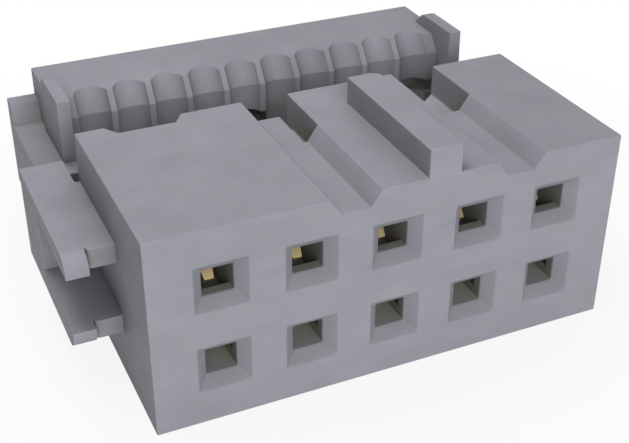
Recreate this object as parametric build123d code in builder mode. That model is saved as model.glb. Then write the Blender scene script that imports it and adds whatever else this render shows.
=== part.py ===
from build123d import *
import os

# Ribbon-cable socket, two rows of five, with its cover held open behind the housing.
# Millimetres. The origin is the centre of the mating face, between the two rows of holes.
# X runs along the rows, Y runs back from the mating face to the cover, Z is up.

# Pin grid
pin_pitch = 2.54
columns = 5

# Housing block, with lands standing out from its rear face
end_margin = 2.02
housing_height = 6.09
rear_face = 5.97
land_step = 0.47
land_slant = 0.30
end_land_width = 0.87
left_land_width = 1.90

# Pin holes in the mating face
mouth_width = 1.54
mouth_height = 1.45
lead_in_depth = 0.33
lead_in_angle = 45
front_wall = 0.67
rear_wall = 0.37

# Room beside each hole for its contact, open to the rear and measured from the hole axis
room_far = 1.40
room_above = 0.13
room_below = 0.965

# Polarising key, and the troughs on each side of it
key_shift = 0.085
key_width = 1.00
key_height = 0.86
key_rear = 5.07
key_corner_width = 0.25
key_corner_length = 0.19
trough_top_width = 1.50
trough_floor_width = 0.82
trough_depth = 0.49
slot_front = 4.16
slot_depth = 1.005
narrow_slot_width = 0.43
wide_slot_slant = 0.57

# End brackets that guide the cover
bracket_reach = 1.47
bracket_lift = 0.035
bracket_height = 2.94
bracket_wall = 0.60
bracket_front = 2.35
step_front = 2.70
step_reach = 0.82
step_radius = 0.16
nose_radius = 0.50
bracket_tail = 1.44
strap_depth = 2.05
relief_width = 0.16
relief_depth = 0.05
relief_radius = 0.10

# Cover body and its ribbon grooves
cover_inset = 0.10
cover_gap = 3.27
cover_depth = 3.12
cover_height = 4.95
slant_rise = 0.58
slant_run = 0.44
rib_width = 0.19
groove_depth = 0.39
pocket_clearance = 0.09
pocket_height = 0.48
pocket_depth = 1.30
hollow_shift = 0.105
hollow_radius = 0.68

# Cover ends: upright ears, rails that slide in the brackets, and rear flanges
ear_inset = 0.05
ear_thickness = 0.43
ear_lead = 0.86
ear_crown = 0.46
ear_top_length = 1.84
ear_break_length = 0.21
ear_break_drop = 0.07
ear_slope_length = 0.40
rail_clearance = 0.02
rail_reach = 0.85
rail_overlap = 0.05
rail_length = 1.88
rail_nose_gap = 0.05
rail_nose_chamfer = 0.25
foot_length = 0.77
foot_clearance = 0.07
flange_reach = 0.82
flange_depth = 0.79
flange_slant = 0.25
flange_height = 3.11

# Contacts, each stamped from one thickness of sheet; points are (Y, Z) on the upper surface
sheet = 0.20
tip_width = 0.26
tip_taper = 0.25
beam_width = 0.36
beam_tip = (1.00, 0.865)
beam_crest = (1.45, 1.25)
beam_root = 3.30
bend_radius = 0.50
plate_rear = 5.40
fork_level = 0.655
fork_width = 1.40
fork_reach = 1.51
fork_slot = 0.30
fork_slot_length = 1.75
fork_point = 0.32

# Derived positions
housing_top = housing_height / 2
end_face = (columns - 1) * pin_pitch / 2 + end_margin
land_rear = rear_face + land_step
end_land_inner = end_face - end_land_width
upper_row = pin_pitch / 2
hole_width = mouth_width - 2 * lead_in_depth
hole_height = mouth_height - 2 * lead_in_depth
column_places = [(i - (columns - 1) / 2) * pin_pitch for i in range(columns)]
wire_pitch = pin_pitch / 2
wires = 2 * columns
wire_places = [(i - (wires - 1) / 2) * wire_pitch for i in range(wires)]
wire_shift = wire_pitch / 2
room_near = hole_width / 2
room_roof = upper_row + room_above
room_floor = upper_row - room_below
left_trough = -pin_pitch / 2
right_trough = 3 * pin_pitch / 2
trough_reach = trough_top_width / 2
plateau_left = left_trough + trough_reach
plateau_right = right_trough - trough_reach
left_land_outer = trough_reach - left_trough + left_land_width
key_centre = (plateau_left + plateau_right) / 2 + key_shift
bracket_rear = land_rear + bracket_tail
strap_front = bracket_rear - strap_depth
relief_front = land_rear - relief_depth
bracket_top = bracket_lift + bracket_height / 2
bracket_bottom = bracket_lift - bracket_height / 2
cover_top = cover_height / 2
cover_front = land_rear + cover_gap
cover_rear = cover_front + cover_depth
flange_front = cover_rear - flange_depth
ear_top = cover_top + ear_crown
ear_front = cover_front - ear_lead
ear_flat_rear = ear_front + ear_top_length
ear_break_rear = ear_flat_rear + ear_break_length
ear_rear = ear_break_rear + ear_slope_length
foot_front = ear_front - foot_length
rail_front = foot_front - rail_length
ear_outer = end_face - ear_inset
ear_inner = ear_outer - ear_thickness
rail_height = bracket_height - 2 * bracket_wall - 2 * rail_clearance
rail_floor = bracket_lift - rail_height / 2
cover_travel = ear_front - land_rear
groove_width = wire_pitch - rib_width
groove_radius = (groove_width**2 / 4 + groove_depth**2) / (2 * groove_depth)
groove_lift = groove_radius - groove_depth
fork_rear = land_rear + fork_reach

# Places of the contacts: the lower row is the upper row turned half a turn about Y
upper_places = [Location((x, 0, 0)) for x in column_places]
lower_places = [Location((x, 0, 0), (0, 180, 0)) for x in column_places]


# Passage of the upper row: tapered mouth and square hole for a pin, with the contact's room
with BuildPart() as passage:
    with BuildSketch(Plane.XZ):
        with Locations((0, upper_row)):
            Rectangle(mouth_width, mouth_height)
    extrude(amount=-lead_in_depth, taper=lead_in_angle)
    with BuildSketch(Plane.XZ):
        with Locations((0, upper_row)):
            Rectangle(hole_width, hole_height)
    extrude(amount=rear_wall - rear_face)
    with BuildSketch(Plane.XZ.offset(-front_wall)):
        with Locations(((room_near - room_far) / 2, (room_roof + room_floor) / 2)):
            Rectangle(room_near + room_far, room_roof - room_floor)
    extrude(amount=front_wall - land_rear)


# Housing: one moulding with ten passages, the key, and a bracket at each end
with BuildPart() as housing:
    # Block whose rear steps out into lands
    with BuildSketch(Plane.XY.offset(-housing_top)):
        with BuildLine():
            Polyline(
                (-end_face, 0),
                (end_face, 0),
                (end_face, land_rear),
                (right_trough + trough_reach, land_rear),
                (right_trough + trough_reach - wide_slot_slant, rear_face),
                (plateau_right + land_slant, rear_face),
                (plateau_right, land_rear),
                (plateau_left, land_rear),
                (plateau_left, rear_face),
                (left_trough - trough_reach + land_slant, rear_face),
                (left_trough - trough_reach, land_rear),
                (-left_land_outer, land_rear),
                (-left_land_outer - land_slant, rear_face),
                (-end_land_inner + land_slant, rear_face),
                (-end_land_inner, land_rear),
                (-end_face, land_rear),
                close=True,
            )
        make_face()
    extrude(amount=housing_height)

    # Polarising key standing on the plateau, with one rear corner cut off
    with BuildSketch():
        with BuildLine():
            Polyline(
                (key_centre - key_width / 2, 0),
                (key_centre + key_width / 2, 0),
                (key_centre + key_width / 2, key_rear - key_corner_length),
                (key_centre + key_width / 2 - key_corner_width, key_rear),
                (key_centre - key_width / 2, key_rear),
                close=True,
            )
        make_face()
    extrude(amount=housing_top + key_height)

    # Shallow troughs with sloping sides along the top
    for centre in (left_trough, right_trough):
        with BuildSketch(Plane.XZ):
            with BuildLine():
                Polyline(
                    (centre - trough_reach, housing_top),
                    (centre - trough_floor_width / 2, housing_top - trough_depth),
                    (centre + trough_floor_width / 2, housing_top - trough_depth),
                    (centre + trough_reach, housing_top),
                    close=True,
                )
            make_face()
        extrude(amount=-land_rear, mode=Mode.SUBTRACT)

    # Deeper slots at the rear of the troughs: one narrow, one as wide as its trough
    slot_middle = (slot_front + land_rear) / 2
    with BuildSketch(Plane.XY.offset(housing_top - slot_depth)):
        with Locations((plateau_left - narrow_slot_width / 2, slot_middle)):
            Rectangle(narrow_slot_width, land_rear - slot_front)
        with Locations((right_trough, slot_middle)):
            Rectangle(trough_top_width, land_rear - slot_front)
    extrude(amount=slot_depth, mode=Mode.SUBTRACT)

    for side in (-1, 1):
        # Bracket plates, one upper and one lower, stepped at the front outer corner
        for plate_floor in (bracket_bottom, bracket_top - bracket_wall):
            with BuildSketch(Plane.XY.offset(plate_floor)):
                with BuildLine():
                    Polyline(
                        (side * (end_face - relief_width), step_front),
                        (side * (end_face + step_reach - step_radius), step_front),
                    )
                    RadiusArc(
                        (side * (end_face + step_reach - step_radius), step_front),
                        (side * (end_face + step_reach), step_front - step_radius),
                        side * step_radius,
                    )
                    Polyline(
                        (side * (end_face + step_reach), step_front - step_radius),
                        (side * (end_face + step_reach), bracket_front),
                        (side * (end_face + bracket_reach), bracket_front),
                        (side * (end_face + bracket_reach), bracket_rear),
                        (side * (end_face + relief_width), bracket_rear),
                        (side * (end_face + relief_width), relief_front + relief_radius),
                    )
                    RadiusArc(
                        (side * (end_face + relief_width), relief_front + relief_radius),
                        (side * (end_face + relief_width - relief_radius), relief_front),
                        side * relief_radius,
                    )
                    Polyline(
                        (side * (end_face + relief_width - relief_radius), relief_front),
                        (side * (end_face - relief_width), relief_front),
                        (side * (end_face - relief_width), step_front),
                    )
                make_face()
            extrude(amount=bracket_wall)

        # Strap that joins the two plates at the rear
        strap_middle = end_face + bracket_reach - bracket_wall / 2
        with BuildSketch(Plane.XY.offset(bracket_bottom)):
            with Locations((side * strap_middle, (strap_front + bracket_rear) / 2)):
                Rectangle(bracket_wall, bracket_rear - strap_front)
        extrude(amount=bracket_height)

        # Outer front tips of the plates, rounded away from the window between them
        tips = housing.edges().filter_by(Axis.X)
        tips = tips.filter_by(lambda edge: abs(edge.center().Y - bracket_front) < 0.01)
        tips = tips.filter_by(lambda edge: edge.center().X * side > end_face)
        tips = tips.filter_by(
            lambda edge: abs(edge.center().Z - bracket_lift) > bracket_height / 2 - 0.01
        )
        fillet(tips, radius=nose_radius)

        # Recess in the rear corner for the foot of the cover when it is pressed home
        recess_front = foot_front - cover_travel - foot_clearance
        recess_inner = ear_inner - foot_clearance
        with BuildSketch(Plane.XY.offset(rail_floor - foot_clearance)):
            with Locations((side * (recess_inner + end_face) / 2, (recess_front + land_rear) / 2)):
                Rectangle(end_face - recess_inner, land_rear - recess_front)
        extrude(amount=rail_height + 2 * foot_clearance, mode=Mode.SUBTRACT)

    # Contact passages
    with Locations(*upper_places, *lower_places):
        add(passage.part, mode=Mode.SUBTRACT)


# Cover: one moulding with ten ribbon grooves, ears, rails and rear flanges
with BuildPart() as cover:
    # Body whose long front edges slant back
    with BuildSketch(Plane.YZ):
        with BuildLine():
            Polyline(
                (cover_front, slant_rise - cover_top),
                (cover_front, cover_top - slant_rise),
                (cover_front + slant_run, cover_top),
                (cover_rear, cover_top),
                (cover_rear, -cover_top),
                (cover_front + slant_run, -cover_top),
                close=True,
            )
        make_face()
    extrude(amount=end_face - cover_inset, both=True)

    for side in (-1, 1):
        # Ear, standing out above and below the body
        with BuildSketch(Plane.YZ.offset(side * (ear_outer + ear_inner) / 2)):
            with BuildLine():
                Polyline(
                    (ear_front, ear_top),
                    (ear_flat_rear, ear_top),
                    (ear_break_rear, ear_top - ear_break_drop),
                    (ear_rear, cover_top),
                    (ear_rear, -cover_top),
                    (ear_break_rear, ear_break_drop - ear_top),
                    (ear_flat_rear, -ear_top),
                    (ear_front, -ear_top),
                    close=True,
                )
            make_face()
        extrude(amount=ear_thickness / 2, both=True)

        # Rail with its foot in front of the ear
        with BuildSketch(Plane.XY.offset(rail_floor)):
            with BuildLine():
                Polyline(
                    (side * (end_face + rail_reach), flange_front + flange_slant),
                    (side * (end_face + rail_reach), rail_front + rail_nose_chamfer),
                    (side * (end_face + rail_reach - rail_nose_chamfer), rail_front),
                    (side * (end_face + rail_nose_gap), rail_front),
                    (side * (end_face + rail_nose_gap), land_rear + rail_nose_gap),
                    (side * (end_face - rail_overlap), land_rear + rail_nose_gap),
                    (side * (end_face - rail_overlap), foot_front),
                    (side * ear_inner, foot_front),
                    (side * ear_inner, flange_front + flange_slant),
                    close=True,
                )
            make_face()
        extrude(amount=rail_height)

        # Rear flange with slanted front edges
        with BuildSketch(Plane.YZ.offset(side * ear_inner)):
            with BuildLine():
                Polyline(
                    (flange_front, -rail_height / 2),
                    (flange_front, rail_height / 2),
                    (flange_front + flange_slant, flange_height / 2),
                    (cover_rear, flange_height / 2),
                    (cover_rear, -flange_height / 2),
                    (flange_front + flange_slant, -flange_height / 2),
                    close=True,
                )
            make_face()
        extrude(amount=side * (end_face + flange_reach - ear_inner))

    # Grooves down the front, and over both slanted edges
    with BuildSketch(Plane.XY.offset(-cover_top)):
        with Locations(*[(x, cover_front - groove_lift) for x in wire_places]):
            Circle(groove_radius)
    extrude(amount=cover_height, mode=Mode.SUBTRACT)
    for up in (-1, 1):
        bend = (0, cover_front, up * (cover_top - slant_rise))
        slant = Plane(origin=bend, x_dir=(1, 0, 0), z_dir=(0, slant_run, up * slant_rise))
        with BuildSketch(slant):
            with Locations(*[(x, -up * groove_lift) for x in wire_places]):
                Circle(groove_radius)
        extrude(amount=2 * slant_rise, both=True, mode=Mode.SUBTRACT)

    # Pockets that take the fork tips, upper for the odd wires and lower for the even ones
    for i, x in enumerate(wire_places):
        level = fork_level if i % 2 == 0 else -fork_level
        with BuildSketch(Plane.XZ.offset(-cover_front)):
            with Locations((x, level)):
                Rectangle(fork_width + 2 * pocket_clearance, pocket_height)
        extrude(amount=-pocket_depth, mode=Mode.SUBTRACT)

    # Round hollows in the two end grooves, each at the level of the pockets beside it
    for side in (-1, 1):
        with BuildSketch(Plane.XY.offset(side * fork_level - pocket_height / 2)):
            with Locations((side * (wire_places[-1] + hollow_shift), cover_front)):
                Circle(hollow_radius)
        extrude(amount=pocket_height, mode=Mode.SUBTRACT)


# Contact of the upper row: a spring beam that rises into the pin's way, a plate held between
# the walls of its room, and a slotted fork behind
with BuildPart() as contact:
    with BuildSketch(Plane.YZ):
        with BuildLine():
            FilletPolyline(
                beam_tip,
                beam_crest,
                (beam_root, fork_level + sheet / 2),
                (fork_rear, fork_level + sheet / 2),
                radius=bend_radius,
            )
            offset(amount=sheet, side=Side.RIGHT, kind=Kind.INTERSECTION)
        make_face()
    extrude(amount=pin_pitch, both=True)

    # Outline of the stamping seen from above
    fork_slot_front = fork_rear - fork_slot_length
    with BuildSketch(Plane.XY.offset(room_floor)):
        with BuildLine():
            Polyline(
                (-room_far, beam_root),
                (-beam_width / 2, beam_root),
                (-beam_width / 2, beam_tip[0] + tip_taper),
                (-tip_width / 2, beam_tip[0]),
                (tip_width / 2, beam_tip[0]),
                (beam_width / 2, beam_tip[0] + tip_taper),
                (beam_width / 2, beam_root),
                (room_near, beam_root),
                (room_near, plate_rear),
                (fork_width / 2 - wire_shift, plate_rear),
                (fork_width / 2 - wire_shift, fork_rear - fork_point),
                ((fork_width + fork_slot) / 4 - wire_shift, fork_rear),
                (fork_slot / 2 - wire_shift, fork_rear - fork_point),
                (fork_slot / 2 - wire_shift, fork_slot_front),
                (-fork_slot / 2 - wire_shift, fork_slot_front),
                (-fork_slot / 2 - wire_shift, fork_rear - fork_point),
                (-(fork_width + fork_slot) / 4 - wire_shift, fork_rear),
                (-fork_width / 2 - wire_shift, fork_rear - fork_point),
                (-fork_width / 2 - wire_shift, plate_rear),
                (-room_far, plate_rear),
                close=True,
            )
        make_face()
    extrude(amount=room_roof - room_floor, mode=Mode.INTERSECT)


os.makedirs("parts", exist_ok=True)
housing.part.label = "housing"
export_step(housing.part, "parts/housing.step")
cover.part.label = "cover"
export_step(cover.part, "parts/cover.step")
for row_name, places in (("upper", upper_places), ("lower", lower_places)):
    for number, place in enumerate(places, start=1):
        piece = place * contact.part
        piece.label = f"{row_name}_contact_{number}"
        export_step(piece, f"parts/{piece.label}.step")
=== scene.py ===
import math

import bmesh
import bpy
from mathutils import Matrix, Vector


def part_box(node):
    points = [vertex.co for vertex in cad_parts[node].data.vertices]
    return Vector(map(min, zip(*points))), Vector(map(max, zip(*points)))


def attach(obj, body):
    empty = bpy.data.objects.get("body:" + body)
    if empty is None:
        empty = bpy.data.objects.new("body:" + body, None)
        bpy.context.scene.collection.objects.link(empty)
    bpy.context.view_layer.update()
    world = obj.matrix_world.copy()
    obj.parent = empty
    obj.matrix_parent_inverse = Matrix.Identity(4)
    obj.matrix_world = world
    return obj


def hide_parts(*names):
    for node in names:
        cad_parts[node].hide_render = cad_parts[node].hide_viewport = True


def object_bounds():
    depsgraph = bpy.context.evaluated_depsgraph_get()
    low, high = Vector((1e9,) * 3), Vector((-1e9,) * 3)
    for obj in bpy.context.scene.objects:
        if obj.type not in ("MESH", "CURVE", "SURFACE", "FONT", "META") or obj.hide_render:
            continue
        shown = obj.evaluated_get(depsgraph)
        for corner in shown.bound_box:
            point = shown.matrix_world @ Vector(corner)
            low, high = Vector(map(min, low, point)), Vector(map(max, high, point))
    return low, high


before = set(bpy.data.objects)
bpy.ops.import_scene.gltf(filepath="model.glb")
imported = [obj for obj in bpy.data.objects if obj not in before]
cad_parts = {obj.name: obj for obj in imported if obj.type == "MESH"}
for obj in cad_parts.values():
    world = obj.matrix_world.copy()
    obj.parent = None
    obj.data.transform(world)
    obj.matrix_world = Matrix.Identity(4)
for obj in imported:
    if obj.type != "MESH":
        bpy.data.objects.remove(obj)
cad_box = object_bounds()


# Camera: close to the socket, at its left front corner and above it, as in the photograph.
# Positions are in metres from the centre of the mating face.
camera_data = bpy.data.cameras.new("camera")
camera_data.sensor_width = 36
camera_data.lens = 65.12
camera_data.clip_start = 0.001
camera = bpy.data.objects.new("camera", camera_data)
camera.location = (-0.012802, -0.022699, 0.017835)
camera.rotation_euler = [math.radians(angle) for angle in (58.504, -0.169, -24.319)]
bpy.context.scene.collection.objects.link(camera)
bpy.context.scene.camera = camera


# Studio: a sheet of white paper under the socket, with soft lamps in front, above and behind.
# The paper shows white to the camera and in reflections, and keeps a faint shadow of the socket.
class Wire:
    """A socket in a material. Sums and products of wires add the Math nodes that work them out."""

    def __init__(self, tree, socket=None):
        self.tree = tree
        self.socket = socket

    def node(self, kind, settings, inputs, output=0):
        made = self.tree.nodes.new("ShaderNode" + kind)
        for name, value in settings.items():
            setattr(made, name, value)
        for name, value in inputs.items():
            if isinstance(value, Wire):
                self.tree.links.new(value.socket, made.inputs[name])
            else:
                made.inputs[name].default_value = value
        return Wire(self.tree, made.outputs[output] if made.outputs else None)

    def maths(self, operation, first, second):
        return self.node("Math", {"operation": operation}, {0: first, 1: second})

    def vector_maths(self, operation, first, second=(0, 0, 0), output=0):
        return self.node("VectorMath", {"operation": operation}, {0: first, 1: second}, output)

    def __add__(self, other):
        return self.maths("ADD", self, other)

    def __rsub__(self, other):
        return self.maths("SUBTRACT", other, self)

    def __mul__(self, other):
        return self.maths("MULTIPLY", self, other)

    __radd__ = __add__
    __rmul__ = __mul__


def start_material(name):
    material = bpy.data.materials.new(name)
    material.use_nodes = True
    material.node_tree.nodes.clear()
    return material, Wire(material.node_tree)


floor_level = cad_box[0].z
floor_size = 0.6
floor_clearance = 0.00001
shadow_centre = (0, 0.0064, floor_level)
shadow_reach = 0.02
white_under_socket = 0.88
soft_light = 0.03

paper, wires = start_material("white_paper")
shade = wires.node("BsdfDiffuse", {}, {"Color": (0.8, 0.8, 0.8, 1)})
bare = wires.node("Emission", {}, {"Color": (1, 1, 1, 1), "Strength": 1.0})
seen = wires.node("LightPath", {}, {}, "Is Camera Ray")
glossy = wires.node("LightPath", {}, {}, "Is Glossy Ray")
through = wires.node("LightPath", {}, {}, "Is Transmission Ray")
place = wires.node("TexCoord", {}, {}, "Object")
distance = wires.vector_maths("DISTANCE", place, shadow_centre, "Value")
faint = wires.node(
    "MapRange",
    {},
    {
        "Value": distance,
        "From Min": 0.4 * shadow_reach,
        "From Max": shadow_reach,
        "To Min": white_under_socket,
        "To Max": 1.0,
    },
)
share = faint * seen + glossy + through
paper_white = wires.node("MixShader", {}, {0: share, 1: shade, 2: bare})
wires.node("OutputMaterial", {}, {"Surface": paper_white})

mesh = bmesh.new()
bmesh.ops.create_grid(mesh, x_segments=1, y_segments=1, size=floor_size)
bmesh.ops.translate(mesh, verts=mesh.verts, vec=(0, 0, floor_level - floor_clearance))
floor_mesh = bpy.data.meshes.new("studio_floor")
mesh.to_mesh(floor_mesh)
mesh.free()
floor_mesh.materials.append(paper)
floor = bpy.data.objects.new("studio_floor", floor_mesh)
bpy.context.scene.collection.objects.link(floor)

world = bpy.data.worlds.new("studio_light")
bpy.context.scene.world = world
world.use_nodes = True
world.node_tree.nodes.clear()
wires = Wire(world.node_tree)
soft = wires.node("Background", {}, {"Color": (1, 1, 1, 1), "Strength": soft_light})
white = wires.node("Background", {}, {"Color": (1, 1, 1, 1), "Strength": 1.0})
seen = wires.node("LightPath", {}, {}, "Is Camera Ray")
both = wires.node("MixShader", {}, {0: seen, 1: soft, 2: white})
wires.node("OutputWorld", {}, {"Surface": both})

lamps = (
    ("lamp_in_front", (-0.012, -0.15, 0.012), 0.05, 0.06),
    ("lamp_front_high", (0.0, -0.13, 0.06), 0.05, 0.045),
    ("lamp_left_high", (-0.045, -0.12, 0.06), 0.05, 0.04),
    ("lamp_front_above", (0.0, -0.07, 0.055), 0.03, 0.0085),
    ("lamp_above", (-0.008, 0.004, 0.035), 0.02, 0.0035),
    ("lamp_behind_above", (-0.015, 0.04, 0.06), 0.03, 0.0172),
    ("lamp_right_behind", (0.03, 0.03, 0.06), 0.03, 0.0052),
)
socket_middle = 0.5 * (cad_box[0] + cad_box[1])
for name, place, size, power in lamps:
    lamp_data = bpy.data.lights.new(name, "AREA")
    lamp_data.size = size
    lamp_data.energy = power
    lamp = bpy.data.objects.new(name, lamp_data)
    lamp.location = place
    aim = lamp.location - socket_middle
    lamp.rotation_euler = aim.to_track_quat("Z", "Y").to_euler()
    bpy.context.scene.collection.objects.link(lamp)

bpy.context.scene.view_settings.view_transform = "Standard"


# Housing: one block of grey glass-filled polyester, moulded with its key, its pin holes and
# the two end brackets. The tool leaves a fine radius on every edge and faint flow marks.
edge_radius = 0.00003
sharp_angle = math.radians(24)
curve_angle = math.radians(10)
flat_angle = math.radians(0.5)
merge_distance = 0.0000005
# How far the ambient occlusion looks, for the painted shade in hollows
painted_shade_reach = 0.0016

# A narrow gap with a rounded mouth beside the outer part of each bracket tip
tip_width = 0.00065
tip_step = 0.0027
gap_width = 0.00004
gap_depth = 0.00015
mouth_radius = 0.00014
mouth_width = 0.00025


def gap_cutter(side, box):
    """An upright bar in the form of the gap at one end, through both bracket plates."""
    wall = side * (box[1].x - tip_width)
    mesh = bmesh.new()
    outline = (
        (wall, tip_step - mouth_width),
        (wall, tip_step + gap_depth),
        (wall - side * gap_width, tip_step + gap_depth),
        (wall - side * gap_width, tip_step),
        (wall - side * mouth_width, tip_step),
        (wall - side * mouth_width, tip_step - mouth_width),
    )
    corners = [mesh.verts.new((x, y, box[0].z)) for x, y in outline]
    mesh.faces.new(corners)
    bmesh.ops.bevel(
        mesh,
        geom=[corners[3]],
        offset=mouth_radius,
        segments=6,
        profile=0.5,
        affect="VERTICES",
        material=-1,
    )
    grown = bmesh.ops.extrude_face_region(mesh, geom=mesh.faces[:])
    raised = [item for item in grown["geom"] if isinstance(item, bmesh.types.BMVert)]
    bmesh.ops.translate(mesh, verts=raised, vec=(0, 0, box[1].z - box[0].z))
    bmesh.ops.recalc_face_normals(mesh, faces=mesh.faces)
    made = bpy.data.meshes.new("gap_cutter")
    mesh.to_mesh(made)
    mesh.free()
    return made


def cut(source, cutters):
    """The source's mesh, merged, less the cutters."""
    mesh = bmesh.new()
    mesh.from_mesh(source)
    bmesh.ops.remove_doubles(mesh, verts=mesh.verts, dist=merge_distance)
    merged = bpy.data.meshes.new("merged")
    mesh.to_mesh(merged)
    mesh.free()
    block = bpy.data.objects.new("block", merged)
    tools = [bpy.data.objects.new("tool", cutter) for cutter in cutters]
    for item in (block, *tools):
        bpy.context.scene.collection.objects.link(item)
    for tool in tools:
        taken = block.modifiers.new("cut", "BOOLEAN")
        taken.operation = "DIFFERENCE"
        taken.solver = "EXACT"
        taken.object = tool
    graph = bpy.context.evaluated_depsgraph_get()
    result = bpy.data.meshes.new_from_object(block.evaluated_get(graph))
    for item in (block, *tools):
        bpy.data.objects.remove(item)
    return result


def can_round(edge):
    """A sharp edge, with no short edge at its ends that the rounding would run over."""
    if not edge.is_manifold or edge.calc_face_angle() < sharp_angle:
        return False
    beside = [other for vertex in edge.verts for other in vertex.link_edges]
    return min(other.calc_length() for other in beside) > 3 * edge_radius


def moulded(node, name, material, cutters=()):
    """A copy of a plain solid with its long edges rounded, which takes the solid's place."""
    mesh = bmesh.new()
    mesh.from_mesh(cut(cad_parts[node].data, cutters))
    bmesh.ops.remove_doubles(mesh, verts=mesh.verts, dist=merge_distance)
    bmesh.ops.dissolve_limit(
        mesh, angle_limit=flat_angle, verts=mesh.verts, edges=mesh.edges
    )
    corners = [edge for edge in mesh.edges if can_round(edge)]
    bmesh.ops.bevel(
        mesh,
        geom=corners,
        offset=edge_radius,
        offset_type="OFFSET",
        segments=2,
        profile=0.5,
        affect="EDGES",
        clamp_overlap=False,
        material=-1,
    )
    for face in mesh.faces:
        face.smooth = True
    made = bpy.data.meshes.new(name)
    mesh.to_mesh(made)
    mesh.free()
    made.set_sharp_from_angle(angle=curve_angle)
    made.materials.append(material)
    piece = bpy.data.objects.new(name, made)
    bpy.context.scene.collection.objects.link(piece)
    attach(piece, "root")
    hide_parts(node)


def mix(wires, factor, first, second):
    """A blend of two colours."""
    inputs = {"Factor": factor, "A": first, "B": second}
    return wires.node("Mix", {"data_type": "RGBA"}, inputs, 2)


def inside(wires, place, low, high, fade=0.00005):
    """1 within a box, fading to 0 just outside it."""
    centre = [(a + b) / 2 for a, b in zip(low, high)]
    half = [(b - a) / 2 for a, b in zip(low, high)]
    offset = wires.vector_maths("ABSOLUTE", wires.vector_maths("SUBTRACT", place, centre))
    beyond = wires.vector_maths("MAXIMUM", wires.vector_maths("SUBTRACT", offset, half))
    distance = wires.vector_maths("LENGTH", beyond, output="Value")
    return 1 - wires.node("MapRange", {}, {"Value": distance, "From Max": fade})


def moulded_plastic(name, tone, streak_tone, painted_shade_tone, painted_highlights=()):
    """Satin grey plastic with soft flow marks, streaks of pigment and a fine spark-eroded
    grain, with painted shade that makes it warmer and darker in hollows, corners and between
    parts, and painted highlights that make a few places paler."""
    material, wires = start_material(name)
    place = wires.node("TexCoord", {}, {}, "Object")
    flow = wires.node(
        "Mapping", {}, {"Vector": place, "Scale": (1, 1, 1.8), "Rotation": (0.3, 0.5, 0.2)}
    )
    clouds = wires.node("TexNoise", {}, {"Vector": flow, "Scale": 900, "Detail": 3})
    patches = wires.node("TexNoise", {}, {"Vector": place, "Scale": 260, "Detail": 2})
    streaks = wires.node("TexNoise", {}, {"Vector": flow, "Scale": 1300, "Detail": 1})
    grain = wires.node("TexNoise", {}, {"Vector": place, "Scale": 9000, "Detail": 2})
    # Painted shade: an ambient occlusion node measures how open each point is, and hollows,
    # corners and places between parts get the warm dark tone.
    painted_shade_openness = wires.node(
        "AmbientOcclusion",
        {"samples": 8, "only_local": True},
        {"Distance": painted_shade_reach},
        "AO",
    )
    colour = mix(wires, streaks, (*tone, 1), (*streak_tone, 1))
    unshaded_share = wires.node("MapRange", {}, {"Value": painted_shade_openness, "From Max": 0.65})
    colour = mix(wires, unshaded_share, (*painted_shade_tone, 1), colour)
    level = 0.84 + 0.22 * clouds + 0.16 * patches
    # Painted highlights: each listed box is made paler.
    for low, high in painted_highlights:
        level = level + 0.35 * inside(wires, place, low, high)
    # Painted shade: the level is darkened where the ambient occlusion is low.
    level = level * (0.54 + 0.46 * painted_shade_openness)
    colour = wires.vector_maths("MULTIPLY", colour, level)
    height = clouds + 0.03 * grain
    bump = wires.node("Bump", {}, {"Strength": 0.25, "Distance": 0.00004, "Height": height})
    shader = wires.node(
        "BsdfPrincipled",
        {},
        {
            "Base Color": colour,
            "Roughness": 0.54 + 0.1 * patches,
            "Normal": bump,
            "Specular IOR Level": 0.1,
        },
    )
    wires.node("OutputMaterial", {}, {"Surface": shader})
    return material


grey = (0.32, 0.32, 0.37)
neutral_grey = (0.33, 0.33, 0.36)
# The warm dark tone of the painted shade in hollows and corners
painted_shade_grey = (0.405, 0.385, 0.3)
# Painted highlight: the floor of the slot beside the key is painted paler.
slot_floor_highlight = ((0.0030, 0.0042, 0.00195), (0.0046, 0.0065, 0.0021))
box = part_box("housing")
moulded(
    "housing",
    "housing_moulding",
    moulded_plastic("housing_grey", grey, neutral_grey, painted_shade_grey, [slot_floor_highlight]),
    cutters=[gap_cutter(side, box) for side in (-1, 1)],
)


# Cover: a second moulding in the same grey, with ten ribbon grooves, ears, and the rails
# that slide in the housing's brackets until the cover is pressed home on the ribbon.
# Like the housing, its hollows get painted shade: darker and warmer where the ambient occlusion is
# low.
moulded(
    "cover",
    "cover_moulding",
    moulded_plastic("cover_grey", grey, neutral_grey, painted_shade_grey),
)


# Contacts: ten stampings of springy bronze sheet under gold plate. The beam in front grips a
# pin, and the fork behind cuts into the ribbon's wires.
gold, wires = start_material("gold_plate")
place = wires.node("TexCoord", {}, {}, "Object")
rolling = wires.node("Mapping", {}, {"Vector": place, "Scale": (1, 0.08, 1)})
lines = wires.node("TexNoise", {}, {"Vector": rolling, "Scale": 12000, "Detail": 3})
stain = wires.node("TexNoise", {}, {"Vector": place, "Scale": 1500, "Detail": 2})
colour = mix(wires, stain, (0.93, 0.74, 0.36, 1), (0.97, 0.82, 0.46, 1))
bump = wires.node("Bump", {}, {"Strength": 0.15, "Distance": 0.00001, "Height": lines})
shader = wires.node(
    "BsdfPrincipled",
    {},
    {"Base Color": colour, "Metallic": 1.0, "Roughness": 0.44 + 0.12 * lines, "Normal": bump},
)
wires.node("OutputMaterial", {}, {"Surface": shader})
for name, node in sorted(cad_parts.items()):
    if "contact" in name:
        node.data.materials.clear()
        node.data.materials.append(gold)
